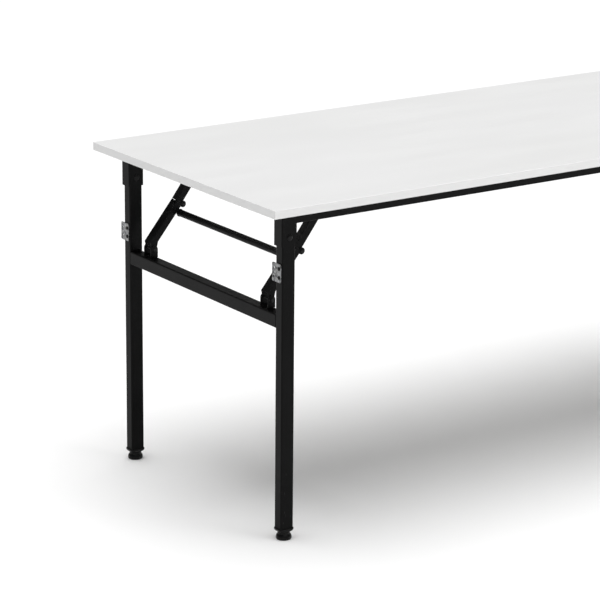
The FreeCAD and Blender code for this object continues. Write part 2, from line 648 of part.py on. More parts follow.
def make_end():
    """Everything that repeats at the two ends of the table."""
    for name, side in (("front", -1), ("back", 1)):
        bar_side = -side
        save_both_ends("leg_bracket_" + name, make_leg_bracket(side))
        save_both_ends("leg_" + name, make_leg(side))
        save_both_ends("foot_glide_" + name, make_foot_glide(side))
        save_both_ends("brace_lower_" + name, make_lower_link(side * BRACE_Y, bar_side))
        save_both_ends("brace_upper_" + name, make_upper_link(side * BRACE_Y))
    sides = (-1, 1)
    save_both_ends("leg_pivot_pins", [rivet(Vector(LEG_X, side * LEG_Y, PIVOT_Z), BRACKET_OUTER / 2.0,
                                            LEG_PIN_RADIUS) for side in sides])
    save_both_ends("pivot_sleeves", [make_sleeve(side) for side in sides])
    save_both_ends("stretcher", make_stretcher())
    save_both_ends("foot_plugs", [make_foot_plug(side) for side in sides])
    save_both_ends("foot_nuts", [make_foot_nut(side) for side in sides])
    save_both_ends("joining_plates", [make_joining_plate(side) for side in sides])
    save_both_ends("plate_screws", [screw for side in sides for screw in make_plate_screws(side)])
    save_both_ends("brace_clevises", [make_clevis(side * BRACE_Y) for side in sides])
    clevis_grip = LOWER_LINK_WIDTH / 2.0 + EAR_CLEARANCE + EAR_SHEET
    hanger_grip = UPPER_LINK_WIDTH / 2.0 + EAR_CLEARANCE + EAR_SHEET
    save_both_ends("clevis_pins", [rivet(LOW_PIVOT + Y_AXIS * (side * BRACE_Y), clevis_grip, BRACE_PIN_RADIUS)
                                   for side in sides])
    save_both_ends("brace_hangers", [make_hanger(side * BRACE_Y) for side in sides])
    save_both_ends("hanger_pins", [rivet(HIGH_PIVOT + Y_AXIS * side * BRACE_Y, hanger_grip, BRACE_PIN_RADIUS)
                                   for side in sides])
    save_both_ends("knee_rivets", [item for side in sides for item in make_knee_rivets(side * BRACE_Y)])
    save_both_ends("release_bar", make_release_bar())


make_top()
make_rails()
make_board_screws()
make_end()
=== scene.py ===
import json
import math

import bpy
import numpy as np
from mathutils import Matrix, Vector


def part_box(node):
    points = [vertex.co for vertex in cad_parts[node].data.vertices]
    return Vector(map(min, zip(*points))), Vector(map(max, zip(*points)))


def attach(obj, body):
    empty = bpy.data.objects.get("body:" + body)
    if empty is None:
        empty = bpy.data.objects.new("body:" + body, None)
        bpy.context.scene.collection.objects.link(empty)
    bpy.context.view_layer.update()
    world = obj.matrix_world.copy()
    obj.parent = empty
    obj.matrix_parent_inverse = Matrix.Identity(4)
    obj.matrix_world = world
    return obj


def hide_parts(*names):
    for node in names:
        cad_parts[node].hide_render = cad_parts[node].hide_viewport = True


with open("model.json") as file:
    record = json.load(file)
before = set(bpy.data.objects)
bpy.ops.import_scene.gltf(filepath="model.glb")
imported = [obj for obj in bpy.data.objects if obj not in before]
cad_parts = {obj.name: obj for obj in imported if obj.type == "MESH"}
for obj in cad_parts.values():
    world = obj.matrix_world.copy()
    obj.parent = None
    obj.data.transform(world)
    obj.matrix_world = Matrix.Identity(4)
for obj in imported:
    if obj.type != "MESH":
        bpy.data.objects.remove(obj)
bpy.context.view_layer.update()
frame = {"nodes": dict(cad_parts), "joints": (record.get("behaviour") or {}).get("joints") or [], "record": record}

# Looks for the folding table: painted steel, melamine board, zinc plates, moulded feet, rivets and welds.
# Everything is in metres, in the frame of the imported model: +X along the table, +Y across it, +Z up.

MM = 0.001
ENDS = (("left", -1.0), ("right", 1.0))
SIDES = (("front", -1.0), ("back", 1.0))
JOINTS = {joint["name"]: joint for joint in frame["joints"]}


def box_middle(node):
    """The middle of a node's box, as x, y and z."""
    low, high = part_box(node)
    return (np.array(low) + np.array(high)) / 2


# ---- Surfaces from arrays -----------------------------------------------------------------------

UPRIGHT = 0.9               # an axis with more than this much Z in it counts as upright
RIPPLE = 1.7 * MM           # length of one ripple along a weld bead
RINGS_PER_RIPPLE = 5
FEWEST_RINGS = 12
RIPPLE_DEPTH = 0.14         # share of a bead's radius that its ripples take
BEAD_RUN_OUT = 1.6          # length over which a bead draws in, in radii
BEAD_TIP = 0.05             # smallest share of the full size at a bead's two ends
BEAD_LEAD = np.array([0.31, 0.47, 0.83])    # a direction that no bead runs along


def signed_volume(points, faces):
    """Six times the volume inside a closed mesh, from the triangle fans of its faces."""
    total = 0.0
    for face in faces:
        first = points[face[0]]
        rest = points[face[1:]]
        total += float(np.einsum("ij,ij->i", np.cross(rest[:-1], rest[1:]), first[None, :]).sum())
    return total


def oriented(form):
    """The same points and faces, with the faces turned outwards."""
    points, faces = form
    faces = [np.asarray(face, int) for face in faces]
    if signed_volume(points, faces) < 0:
        faces = [face[::-1] for face in faces]
    return points, faces


def joined(forms):
    """Several closed forms as one, each with its faces turned outwards."""
    points = []
    faces = []
    offset = 0
    for some_points, some_faces in map(oriented, forms):
        points.append(some_points)
        faces += [face + offset for face in some_faces]
        offset += len(some_points)
    return np.concatenate(points), faces


def add_mesh(name, form):
    """A smooth mesh object at the origin."""
    points, faces = form
    mesh = bpy.data.meshes.new(name)
    mesh.from_pydata(points.tolist(), [], [face.tolist() for face in faces])
    mesh.polygons.foreach_set("use_smooth", np.ones(len(faces), bool))
    mesh.update()
    piece = bpy.data.objects.new(name, mesh)
    bpy.context.scene.collection.objects.link(piece)
    return piece


def ring_faces(ring_count, around, closed=False):
    """Quads between rings of points, each ring closed on itself; closed also joins the last ring
    to the first."""
    spans = ring_count if closed else ring_count - 1
    i, j = np.meshgrid(np.arange(spans), np.arange(around), indexing="ij")
    i2 = (i + 1) % ring_count
    j2 = (j + 1) % around
    quads = np.stack([i * around + j, i * around + j2, i2 * around + j2, i2 * around + j], -1)
    return list(quads.reshape(-1, 4))


def capped(rings, start, end):
    """Points and faces of a closed form: rings of points with one pole point at each end."""
    count, around = rings.shape[:2]
    points = np.concatenate([rings.reshape(-1, 3), [start], [end]])
    first = count * around
    last = first + 1
    tip = first - around
    fans = [np.array([first, (k + 1) % around, k]) for k in range(around)]
    fans += [np.array([last, tip + k, tip + (k + 1) % around]) for k in range(around)]
    return points, ring_faces(count, around) + fans


def turned_form(radii, heights, place, axis, around, swell=None):
    """A turned form: radius as a function of height along axis, from place; swell adds to the radius
    as a function of (height, angle), for threads and flutes."""
    axis = np.asarray(axis, float) / np.linalg.norm(axis)
    side = np.cross(axis, [1.0, 0.0, 0.0] if abs(axis[2]) >= UPRIGHT else [0.0, 0.0, 1.0])
    side /= np.linalg.norm(side)
    other = np.cross(axis, side)
    place = np.asarray(place, float)
    heights = np.asarray(heights, float)
    angle = np.linspace(0, 2 * np.pi, around, endpoint=False)
    radius = np.repeat(np.asarray(radii, float)[1:-1, None], around, 1)
    if swell is not None:
        radius = radius + swell(heights[1:-1, None], angle[None, :])
    spokes = np.cos(angle)[:, None] * side + np.sin(angle)[:, None] * other
    rings = radius[..., None] * spokes[None] + heights[1:-1, None, None] * axis + place
    return capped(rings, heights[0] * axis + place, heights[-1] * axis + place)


def bead_form(path, radius, around=10):
    """A weld bead: a round section along path whose radius swells once per ripple as a half circle,
    like laid coins, and draws in as a square root towards both ends."""
    path = np.asarray(path, float)
    along = np.concatenate([[0.0], np.cumsum(np.linalg.norm(np.diff(path, axis=0), axis=1))])
    length = along[-1]
    s = np.linspace(0, length, max(FEWEST_RINGS, int(length / RIPPLE * RINGS_PER_RIPPLE)))
    line = np.stack([np.interp(s, along, path[:, k]) for k in range(3)], -1)
    tangent = np.gradient(line, axis=0)
    tangent /= np.linalg.norm(tangent, axis=1)[:, None]
    normal = np.cross(tangent, BEAD_LEAD)
    normal /= np.linalg.norm(normal, axis=1)[:, None]
    other = np.cross(tangent, normal)
    phase = (s / RIPPLE) % 1.0
    ripple = 1 - RIPPLE_DEPTH + RIPPLE_DEPTH * np.sqrt(1 - (2 * phase - 1) ** 2)
    drawn_in = np.clip(np.minimum(s, length - s) / (BEAD_RUN_OUT * radius), BEAD_TIP, 1) ** 0.5
    size = (radius * drawn_in * ripple)[:, None, None]
    angle = np.linspace(0, 2 * np.pi, around, endpoint=False)[None, :, None]
    rings = line[:, None] + size * (np.cos(angle) * normal[:, None] + np.sin(angle) * other[:, None])
    return capped(rings, line[0], line[-1])


# ---- Shader nodes -------------------------------------------------------------------------------


class Graph:
    """A short way to add and link shader nodes in one node tree."""

    def __init__(self, tree):
        self.tree = tree

    def node(self, kind, **settings):
        made = self.tree.nodes.new(kind)
        for key, value in settings.items():
            setattr(made, key, value)
        return made

    def feed(self, socket, value):
        """Link a socket, or set its own value."""
        if isinstance(value, bpy.types.NodeSocket):
            self.tree.links.new(value, socket)
        elif value is not None:
            socket.default_value = value

    def math(self, operation, a, b, c=None):
        made = self.node("ShaderNodeMath", operation=operation)
        for socket, value in zip(made.inputs, (a, b, c)):
            self.feed(socket, value)
        return made.outputs[0]

    def product(self, a, b):
        return self.math("MULTIPLY", a, b)

    def weighted(self, a, share_a, b, share_b):
        """a and b added up, each times its share."""
        return self.math("ADD", self.product(a, share_a), self.product(b, share_b))

    def noise(self, vector, scale, detail, roughness, distortion=0.0):
        made = self.node("ShaderNodeTexNoise")
        for key, value in (("Vector", vector), ("Scale", scale), ("Detail", detail),
                           ("Roughness", roughness), ("Distortion", distortion)):
            self.feed(made.inputs[key], value)
        return made.outputs["Fac"]

    def cells(self, vector, scale):
        made = self.node("ShaderNodeTexVoronoi", feature="F1")
        self.feed(made.inputs["Vector"], vector)
        self.feed(made.inputs["Scale"], scale)
        return made.outputs

    def split(self, colour_socket):
        """The three channels of a colour."""
        made = self.node("ShaderNodeSeparateColor")
        self.feed(made.inputs[0], colour_socket)
        return made.outputs

    def span(self, value, low, high, to_low=0.0, to_high=1.0, smooth=True):
        """Map low..high to to_low..to_high, held at the ends."""
        made = self.node("ShaderNodeMapRange", interpolation_type="SMOOTHSTEP" if smooth else "LINEAR")
        for key, item in (("Value", value), ("From Min", low), ("From Max", high),
                          ("To Min", to_low), ("To Max", to_high)):
            self.feed(made.inputs[key], item)
        return made.outputs["Result"]

    def blend(self, factor, a, b):
        """Colour a where factor is 0, colour b where it is 1."""
        made = self.node("ShaderNodeMix", data_type="RGBA")
        self.feed(made.inputs["Factor"], factor)
        for key, value in (("A", a), ("B", b)):
            socket = [item for item in made.inputs if item.name == key and item.type == "RGBA"][0]
            self.feed(socket, value)
        return [item for item in made.outputs if item.type == "RGBA"][0]

    def stretched(self, vector, scale, turn=(0.0, 0.0, 0.0)):
        """Coordinates scaled and turned."""
        made = self.node("ShaderNodeMapping")
        made.inputs["Scale"].default_value = scale
        made.inputs["Rotation"].default_value = turn
        self.feed(made.inputs["Vector"], vector)
        return made.outputs["Vector"]

    def place(self, scale=(1, 1, 1)):
        """Object coordinates, scaled."""
        return self.stretched(self.node("ShaderNodeTexCoord").outputs["Object"], scale)

    def axis(self, vector, name):
        made = self.node("ShaderNodeSeparateXYZ")
        self.feed(made.inputs[0], vector)
        return made.outputs[name]


def colour(red, green=None, blue=None):
    """A colour with alpha; one number gives a grey."""
    return (red, red if green is None else green, red if blue is None else blue, 1.0)


SOCKETS = {"vector": "NodeSocketVector", "value": "NodeSocketFloat"}


def shader_group(name, inputs, outputs, build):
    """A node group with named sockets. inputs holds (label, kind, default) and outputs the labels of
    its values; build(graph, inputs) returns them by label."""
    tree = bpy.data.node_groups.new(name, "ShaderNodeTree")
    for label, kind, default in inputs:
        socket = tree.interface.new_socket(label, in_out="INPUT", socket_type=SOCKETS[kind])
        if default is not None:
            socket.default_value = default
    for label in outputs:
        tree.interface.new_socket(label, in_out="OUTPUT", socket_type=SOCKETS["value"])
    graph = Graph(tree)
    entry = graph.node("NodeGroupInput")
    leave = graph.node("NodeGroupOutput")
    results = build(graph, entry.outputs)
    for label in outputs:
        graph.feed(leave.inputs[label], results[label])
    return tree


def build_skin(graph, given):
    """Orange-peel height from two noises, a slow drift of shade, and fine specks of dust."""
    vector = given["Vector"]
    fine = graph.noise(vector, scale=given["Scale"], detail=2.0, roughness=0.5)
    coarse = graph.noise(vector, scale=graph.product(given["Scale"], 0.22), detail=3.0, roughness=0.6)
    drift = graph.noise(vector, scale=7.0, detail=4.0, roughness=0.6)
    dust = graph.noise(vector, scale=1900.0, detail=2.0, roughness=0.7)
    return {"Height": graph.weighted(fine, 0.65, coarse, 0.35),
            "Drift": graph.span(drift, 0.3, 0.7),
            "Dust": graph.product(graph.span(dust, 0.64, 0.74), graph.span(drift, 0.35, 0.75))}


def build_rub(graph, given):
    """Scratches and rubbed patches between two heights, strongest at the lower one."""
    vector = given["Vector"]
    zone = graph.span(graph.axis(vector, "Z"), given["Low"], given["High"], to_low=1.0, to_high=0.0)
    slanted = graph.stretched(vector, (1.0, 1.0, 0.16), turn=(0.5, 0.35, 0.0))
    scratch = graph.noise(slanted, scale=420.0, detail=2.0, roughness=0.6, distortion=0.4)
    patch = graph.noise(vector, scale=55.0, detail=4.0, roughness=0.65)
    broken = graph.product(graph.span(scratch, 0.62, 0.70), graph.span(patch, 0.50, 0.68))
    return {"Mask": graph.product(broken, zone)}


def build_board_face(graph, given):
    """A pressed pearl texture, cloudy shade and wiped smudges that change the gloss."""
    vector = given["Vector"]
    pearl = graph.noise(vector, scale=900.0, detail=2.0, roughness=0.5)
    ripple = graph.noise(vector, scale=160.0, detail=2.0, roughness=0.5)
    cloud = graph.noise(vector, scale=1.6, detail=3.0, roughness=0.5)
    wipe = graph.stretched(vector, (0.7, 4.0, 1.0), turn=(0.0, 0.0, 0.5))
    smudge = graph.noise(wipe, scale=3.0, detail=5.0, roughness=0.6)
    return {"Height": graph.weighted(pearl, 0.7, ripple, 0.3),
            "Cloud": graph.span(cloud, 0.3, 0.7),
            "Smudge": graph.span(smudge, 0.35, 0.72)}


def build_chips(graph, given):
    """Pressed wood chips: stretched cells with their own shades and a fibre streak on each."""
    vector = given["Vector"]
    chips = graph.cells(vector, given["Scale"])
    tint = graph.split(chips["Color"])[0]
    fibre = graph.noise(vector, scale=graph.product(given["Scale"], 4.0), detail=3.0, roughness=0.6)
    return {"Shade": graph.weighted(tint, 0.6, fibre, 0.4), "Height": chips["Distance"]}


def build_plating(graph, given):
    """Zinc spangle: large and small cells of different shade, cloudy patches and a faint colour cast."""
    vector = given["Vector"]
    large = graph.split(graph.cells(vector, 190.0)["Color"])
    small = graph.split(graph.cells(vector, 640.0)["Color"])
    cloud = graph.noise(vector, scale=95.0, detail=4.0, roughness=0.65, distortion=0.6)
    spangle = graph.weighted(large[0], 0.45, small[0], 0.2)
    shade = graph.math("ADD", spangle, graph.product(cloud, 0.5))
    return {"Shade": graph.span(shade, 0.25, 0.85),
            "Cast": large[1],
            "Height": graph.math("ADD", cloud, graph.product(small[2], 0.3))}


VECTOR = ("Vector", "vector", None)
SKIN = shader_group("coat_skin", [VECTOR, ("Scale", "value", 900.0)], ["Height", "Drift", "Dust"], build_skin)
RUB = shader_group("rub_marks", [VECTOR, ("Low", "value", 0.0), ("High", "value", 0.2)], ["Mask"], build_rub)
BOARD_FACE = shader_group("board_face", [VECTOR], ["Height", "Cloud", "Smudge"], build_board_face)
CHIPS = shader_group("pressed_chips", [VECTOR, ("Scale", "value", 300.0)], ["Shade", "Height"], build_chips)
PLATING = shader_group("zinc_spangle", [VECTOR], ["Shade", "Cast", "Height"], build_plating)


# ---- Materials ----------------------------------------------------------------------------------

DUST_GREY = colour(0.16, 0.155, 0.15)
RUBBED_COAT = colour(0.06)
SOILED_EDGE = colour(0.42, 0.40, 0.37)
BACKING_DARK = colour(0.60, 0.595, 0.58)
BACKING_LIGHT = colour(0.70, 0.695, 0.68)
BACKING_STREAK = colour(0.45)
CHIP_DARK = colour(0.34, 0.21, 0.10)
CHIP_LIGHT = colour(0.72, 0.53, 0.31)
ZINC_BLUE = colour(0.55, 0.58, 0.66)
LACQUER = colour(0.004)
WORN_LACQUER = colour(0.10)
RUBBED_PLASTIC = colour(0.04)
BRIGHTEST_WHITE = 0.97


def start_material(name, **surface):
    """A material with one Principled shader, and the graph to build the rest in."""
    material = bpy.data.materials.new(name)
    material.use_nodes = True
    shader = material.node_tree.nodes["Principled BSDF"]
    for key, value in surface.items():
        shader.inputs[key.replace("_", " ")].default_value = value
    return material, Graph(material.node_tree), shader


def use_group(graph, tree, **inputs):
    """Place a group in a material with its own values."""
    made = graph.node("ShaderNodeGroup")
    made.node_tree = tree
    for key, value in inputs.items():
        graph.feed(made.inputs[key], value)
    return made.outputs


def finish_surface(graph, shader, base, roughness, height, strength, depth):
    """Send colour, roughness and a bump, whose full height is depth, to the shader."""
    made = graph.node("ShaderNodeBump")
    made.inputs["Strength"].default_value = strength
    made.inputs["Distance"].default_value = depth
    graph.feed(made.inputs["Height"], height)
    graph.feed(shader.inputs["Base Color"], base)
    graph.feed(shader.inputs["Roughness"], roughness)
    graph.feed(shader.inputs["Normal"], made.outputs["Normal"])


def powder_coat(name, dark, light, roughness, rub_low, rub_high):
    """Black powder coat: orange peel, drifting shade, a little dust and rubbed places showing greyer
    between the heights rub_low and rub_high."""
    material, graph, shader = start_material(name, IOR=1.45, Specular_IOR_Level=0.10)
    vector = graph.place()
    skin = use_group(graph, SKIN, Vector=vector, Scale=1100.0)
    rub = use_group(graph, RUB, Vector=vector, Low=rub_low, High=rub_high)["Mask"]
    base = graph.blend(skin["Drift"], colour(dark), colour(light, light, light * 1.06))
    base = graph.blend(graph.product(skin["Dust"], 0.25), base, DUST_GREY)
    base = graph.blend(graph.product(rub, 0.8), base, RUBBED_COAT)
    rough = graph.math("MULTIPLY_ADD", skin["Drift"], 0.07, roughness)
    rough = graph.math("SUBTRACT", rough, graph.product(rub, 0.10))
    finish_surface(graph, shader, base, rough, skin["Height"], strength=0.28, depth=0.25 * MM)
    return material


def melamine(name, shade, roughness, texture):
    """The white face sheet: pearl texture, cloudy shade, smudges in the gloss."""
    material, graph, shader = start_material(name, IOR=1.5, Specular_IOR_Level=0.45)
    face = use_group(graph, BOARD_FACE, Vector=graph.place())
    clouded = colour(shade * 0.985, shade * 0.985, shade * 0.98)
    base = graph.blend(face["Cloud"], clouded, colour(shade * 1.012))
    rough = graph.math("MULTIPLY_ADD", face["Smudge"], 0.09, roughness)
    finish_surface(graph, shader, base, rough, face["Height"], strength=texture, depth=0.12 * MM)
    return material


def edge_banding(name, shade, low, high):
    """White edge band between the heights low and high: cross-wise trimming chatter, a painted highlight
    along the top arris and a greyer lower edge."""
    material, graph, shader = start_material(name, IOR=1.5, Specular_IOR_Level=0.5)
    place = graph.place()
    chatter = graph.noise(graph.place((1.0, 1.0, 0.05)), scale=750.0, detail=2.0, roughness=0.5)
    drift = graph.noise(place, scale=5.0, detail=3.0, roughness=0.6)
    patches = graph.noise(place, scale=40.0, detail=4.0, roughness=0.65)
    height = graph.axis(place, "Z")
    # painted highlight: the top millimetre of the band, along the arris, is painted lighter
    arris = graph.span(height, high - 1.1 * MM, high - 0.4 * MM)
    near_bottom = graph.span(height, low, low + 2.5 * MM, to_low=1.0, to_high=0.0)
    soiled = graph.product(near_bottom, graph.span(patches, 0.45, 0.7))
    base = graph.blend(drift, colour(shade * 0.98, shade * 0.98, shade * 0.972), colour(shade))
    base = graph.blend(arris, base, colour(min(BRIGHTEST_WHITE, shade * 1.12)))
    base = graph.blend(graph.product(soiled, 0.18), base, SOILED_EDGE)
    rough = graph.span(chatter, 0.3, 0.7, to_low=0.30, to_high=0.42)
    finish_surface(graph, shader, base, rough, chatter, strength=0.12, depth=0.10 * MM)
    return material


def backing_sheet(name):
    """The matt balancing sheet under the board, with a paper-like mottle and a few grey streaks."""
    material, graph, shader = start_material(name, IOR=1.45, Specular_IOR_Level=0.3)
    mottle = graph.noise(graph.place(), scale=260.0, detail=4.0, roughness=0.6)
    streak = graph.noise(graph.place((0.4, 9.0, 1.0)), scale=4.0, detail=4.0, roughness=0.6)
    base = graph.blend(mottle, BACKING_DARK, BACKING_LIGHT)
    base = graph.blend(graph.product(graph.span(streak, 0.55, 0.75), 0.25), base, BACKING_STREAK)
    rough = graph.span(mottle, 0.3, 0.7, to_low=0.55, to_high=0.68)
    finish_surface(graph, shader, base, rough, mottle, strength=0.15, depth=0.2 * MM)
    return material


def particle_board(name):
    """Raw pressed chips, longer along the board than through it."""
    material, graph, shader = start_material(name, IOR=1.4, Specular_IOR_Level=0.2)
    chips = use_group(graph, CHIPS, Vector=graph.place((0.35, 0.35, 1.0)), Scale=420.0)
    base = graph.blend(chips["Shade"], CHIP_DARK, CHIP_LIGHT)
    rough = graph.span(chips["Shade"], 0.2, 0.8, to_low=0.75, to_high=0.9)
    finish_surface(graph, shader, base, rough, chips["Height"], strength=0.4, depth=0.6 * MM)
    return material


def zinc_plate(name, roughness, low_shade, high_shade):
    """Zinc plating: metallic spangle with a faint yellow and blue cast."""
    material, graph, shader = start_material(name, Metallic=1.0)
    zinc = use_group(graph, PLATING, Vector=graph.place())
    base = graph.blend(zinc["Shade"], colour(low_shade, low_shade, low_shade * 0.97),
                       colour(high_shade, high_shade * 0.995, high_shade * 0.96))
    base = graph.blend(graph.product(zinc["Cast"], 0.18), base, ZINC_BLUE)
    rough = graph.math("MULTIPLY_ADD", zinc["Shade"], -0.12, roughness)
    finish_surface(graph, shader, base, rough, zinc["Height"], strength=0.35, depth=0.35 * MM)
    return material


def turned_steel(name, dark, light, roughness):
    """Plain machined steel: fine turning lines and darker oil stains."""
    material, graph, shader = start_material(name, Metallic=1.0)
    lines = graph.noise(graph.place((0.3, 0.3, 14.0)), scale=900.0, detail=2.0, roughness=0.5)
    stain = graph.noise(graph.place(), scale=120.0, detail=4.0, roughness=0.6)
    base = graph.blend(graph.span(stain, 0.35, 0.7), colour(light), colour(dark, dark * 0.97, dark * 0.93))
    rough = graph.span(lines, 0.3, 0.7, to_low=roughness - 0.07, to_high=roughness + 0.07)
    finish_surface(graph, shader, base, rough, lines, strength=0.2, depth=0.08 * MM)
    return material


def blackened_steel(name):
    """Rivets and screws: dark lacquer worn bright in small spots."""
    material, graph, shader = start_material(name, IOR=1.5, Specular_IOR_Level=0.16)
    place = graph.place()
    spots = graph.span(graph.noise(place, scale=800.0, detail=3.0, roughness=0.6), 0.60, 0.70)
    skin = use_group(graph, SKIN, Vector=place, Scale=1800.0)
    base = graph.blend(graph.product(spots, 0.5), LACQUER, WORN_LACQUER)
    graph.feed(shader.inputs["Metallic"], graph.product(spots, 0.6))
    rough = graph.math("MULTIPLY_ADD", skin["Drift"], 0.08, 0.26)
    finish_surface(graph, shader, base, rough, skin["Height"], strength=0.15, depth=0.1 * MM)
    return material


def moulded_plastic(name, shade, roughness):
    """Black moulded plastic: fine spark-eroded grain, greyer where it is rubbed near the floor."""
    material, graph, shader = start_material(name, IOR=1.5, Specular_IOR_Level=0.14)
    place = graph.place()
    grain = graph.noise(place, scale=2600.0, detail=2.0, roughness=0.6)
    drift = graph.noise(place, scale=30.0, detail=3.0, roughness=0.6)
    rub = use_group(graph, RUB, Vector=place, Low=0.0, High=20.0 * MM)["Mask"]
    base = graph.blend(drift, colour(shade * 0.8), colour(shade * 1.3))
    base = graph.blend(graph.product(rub, 0.5), base, RUBBED_PLASTIC)
    rough = graph.math("MULTIPLY_ADD", grain, 0.12, roughness)
    finish_surface(graph, shader, base, rough, grain, strength=0.2, depth=0.08 * MM)
    return material


band_low, band_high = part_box("edge_band_front")
LOOKS = {
    "white_face": melamine("white_melamine", shade=0.85, roughness=0.32, texture=0.10),
    "white_edge": edge_banding("white_edge_banding", shade=0.77, low=band_low.z, high=band_high.z),
    "backing": backing_sheet("balancing_sheet"),
    "particle_board": particle_board("raw_particle_board"),
    "black_steel": powder_coat("black_powder_coat", dark=0.002, light=0.0035, roughness=0.38,
                               rub_low=20.0 * MM, rub_high=220.0 * MM),
    "black_fixings": blackened_steel("blackened_fixings"),
    "zinc": zinc_plate("zinc_spangle_plate", roughness=0.38, low_shade=0.022, high_shade=0.29),
    "steel": turned_steel("turned_steel", dark=0.30, light=0.62, roughness=0.34),
    "black_plastic": moulded_plastic("black_moulded_plastic", shade=0.004, roughness=0.14),
}

for entry in frame["record"]["subparts"]:
    node = frame["nodes"][entry["node"]]
    node.data.materials.clear()
    node.data.materials.append(LOOKS[entry["material_slot"]])


def add_piece(name, forms, body, slot_name, replaced=()):
    """One new piece made of closed forms, with the material looked up by slot_name, under its body's
    empty; the nodes that it stands for are hidden."""
    piece = add_mesh(name, joined(forms))
    piece.data.materials.append(LOOKS[slot_name])
    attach(piece, body)
    if replaced:
        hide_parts(*replaced)


# ---- Rivets and screws --------------------------------------------------------------------------

PLAIN_HEAD_HEIGHT = 2.0 * MM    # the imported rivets' heads
PIVOT_HEAD_HEIGHT = 2.3 * MM
KNEE_HEAD_HEIGHT = 2.2 * MM
LEG_SHANK = 4.0 * MM
LEG_HEAD = 6.6 * MM
BRACE_SHANK = 3.0 * MM
BRACE_HEAD = 6.2 * MM
KNEE_HEAD = 4.75 * MM
KNEE_TAIL = 1.5 * MM            # how far a knee rivet's shank goes into the cheek
DOME_STEPS = 9
DOME_RIM_SHARE = 0.22           # share of a head's height that its straight rim takes
SCREW_HEAD = 4.2 * MM
SCREW_HEAD_HEIGHT = 1.6 * MM
SCREW_SHANK = 2.55 * MM
SCREW_LENGTH = 8.0 * MM
RECESS_HALF_WIDTH = 0.55 * MM
SCREW_AROUND = 48
SCREW_STEPS = 14


def dome_profile(shank, head, height):
    """Radii and heights of a half-round head from its pole down to the shank: a quarter ellipse,
    a short straight rim and a flat underside."""
    t = np.linspace(np.pi / 2, 0.12, DOME_STEPS)
    rim = DOME_RIM_SHARE * height
    radii = np.concatenate([head * np.cos(t), [head, head * 0.985, shank]])
    heights = np.concatenate([rim + (height - rim) * np.sin(t), [rim, 0.0, 0.0]])
    radii[0] = 0.0
    return radii, heights


def rivet_form(centre, half_grip, shank, head):
    """A rivet along Y: a shank with a half-round head at both ends."""
    radii, heights = dome_profile(shank, head, PIVOT_HEAD_HEIGHT)
    along = half_grip + heights
    return turned_form(np.concatenate([radii, radii[::-1]]), np.concatenate([along, -along[::-1]]),
                       centre, (0, 1, 0), around=36)


def pivot_rivets(node, body, joint, shank, head, centre_y):
    """The two rivets of a group node, on a joint's axis, at minus and plus centre_y."""
    half_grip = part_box(node)[1].y - centre_y - PLAIN_HEAD_HEIGHT
    x, _, z = JOINTS[joint]["pos_m"]
    forms = [rivet_form((x, side * centre_y, z), half_grip, shank, head) for _, side in SIDES]
    add_piece(node + "_heads", forms, body, "black_fixings", [node])


def knee_rivet_heads(end):
    """Domed rivets on both faces of each lower link's cheeks, at the knees."""
    node = "knee_rivets_" + end
    x, _, z = box_middle(node)
    radii, heights = dome_profile(BRACE_SHANK, KNEE_HEAD, KNEE_HEAD_HEIGHT)
    profile = np.concatenate([radii, [BRACE_SHANK, 0.0]])
    along = np.concatenate([heights, [-KNEE_TAIL, -KNEE_TAIL]])
    forms = []
    for side_name, _ in SIDES:
        link_low, link_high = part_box("brace_lower_" + side_name + "_" + end)
        for face_y, out in ((link_low.y, -1.0), (link_high.y, 1.0)):
            forms.append(turned_form(profile, along, (x, face_y, z), (0, out, 0), around=32))
    add_piece(node + "_heads", forms, "lower_braces_" + end, "black_fixings", [node])


def cross_recess(y, z, depth, half_width, half_length):
    """How deep a cross-shaped recess is at y and z: depth inside the cross, falling evenly to nothing
    past its arms' sides and ends, and shallower away from the middle."""
    def inside(distance, limit):
        return np.clip((limit - np.abs(distance)) / (0.35 * half_width) + 0.5, 0, 1)

    arm = inside(y, half_width) * inside(z, half_length)
    other = inside(z, half_width) * inside(y, half_length)
    return depth * np.maximum(arm, other) * np.clip(1.25 - np.hypot(y, z) / half_length, 0, 1)


def pan_screw_form(place, out):
    """A pan-head screw along X: the head's height is a flat dome, the root of one less three quarters
    of the radius to the fourth, less a cross recess; the shank runs back from its underside."""
    angle = np.linspace(0, 2 * np.pi, SCREW_AROUND, endpoint=False)
    radius = np.linspace(0.04, 1.0, SCREW_STEPS) * SCREW_HEAD
    r, a = np.meshgrid(radius, angle, indexing="ij")
    y = r * np.cos(a)
    z = r * np.sin(a)
    dome = SCREW_HEAD_HEIGHT * np.sqrt(np.clip(1 - 0.75 * (r / SCREW_HEAD) ** 4, 0, 1))
    x = dome - cross_recess(y, z, SCREW_HEAD_HEIGHT * 0.55, RECESS_HALF_WIDTH, SCREW_HEAD * 0.62)
    back_radius = np.array([SCREW_HEAD, SCREW_SHANK, SCREW_SHANK])[:, None]
    back_x = np.array([0.0, 0.0, -SCREW_LENGTH])[:, None]
    back = np.stack([np.repeat(back_x, SCREW_AROUND, 1), back_radius * np.cos(angle),
                     back_radius * np.sin(angle)], -1)
    rings = np.concatenate([np.stack([x, y, z], -1), back])
    rings[..., 0] *= out
    middle = np.array([out * SCREW_HEAD_HEIGHT * 0.45, 0.0, 0.0])
    tip = np.array([-out * SCREW_LENGTH, 0.0, 0.0])
    return capped(rings + place, middle + place, tip + place)


